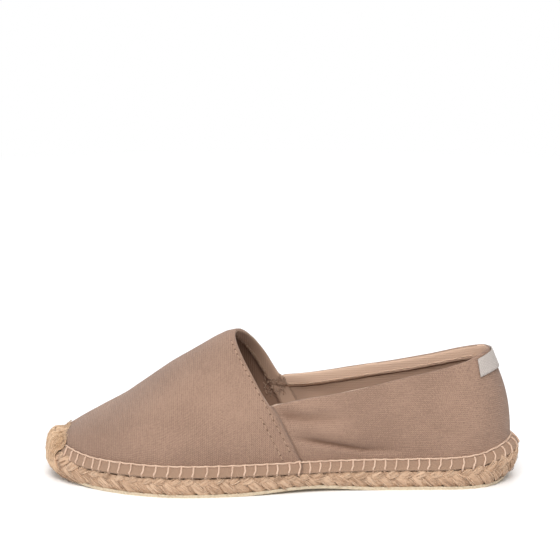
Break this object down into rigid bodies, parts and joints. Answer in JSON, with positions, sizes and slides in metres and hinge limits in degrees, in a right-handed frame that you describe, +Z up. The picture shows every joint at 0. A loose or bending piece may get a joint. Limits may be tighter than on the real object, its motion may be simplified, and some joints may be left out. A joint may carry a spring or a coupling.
{
  "type": "espadrille",
  "caption": "Slip-on canvas shoe on a plaited jute sole with a thin rubber outsole, yarn toe guard and low open collar, for the left foot.",
  "frame": {"origin": "middle of the box round the whole shoe, on the floor under the sole", "axes": "+Z up, the toe towards -Y, the heel towards +Y, the outer side of the foot towards +X"},
  "size_m": [0.0974, 0.2602, 0.0834],
  "materials": {
    "canvas": "matte taupe cotton canvas",
    "jute": "natural plaited jute",
    "jute_yarn": "fuzzy pale jute yarn",
    "crepe_rubber": "matte cream crepe rubber",
    "sock_cloth": "plain woven cotton",
    "label_cloth": "off-white woven tape"
  },
  "bodies": {
    "root": {"outsole": "crepe_rubber", "jute_sole": "jute", "insole": "sock_cloth", "upper": "canvas", "toe_cap": "jute_yarn", "heel_label": "label_cloth"}
  },
  "joints": []
}
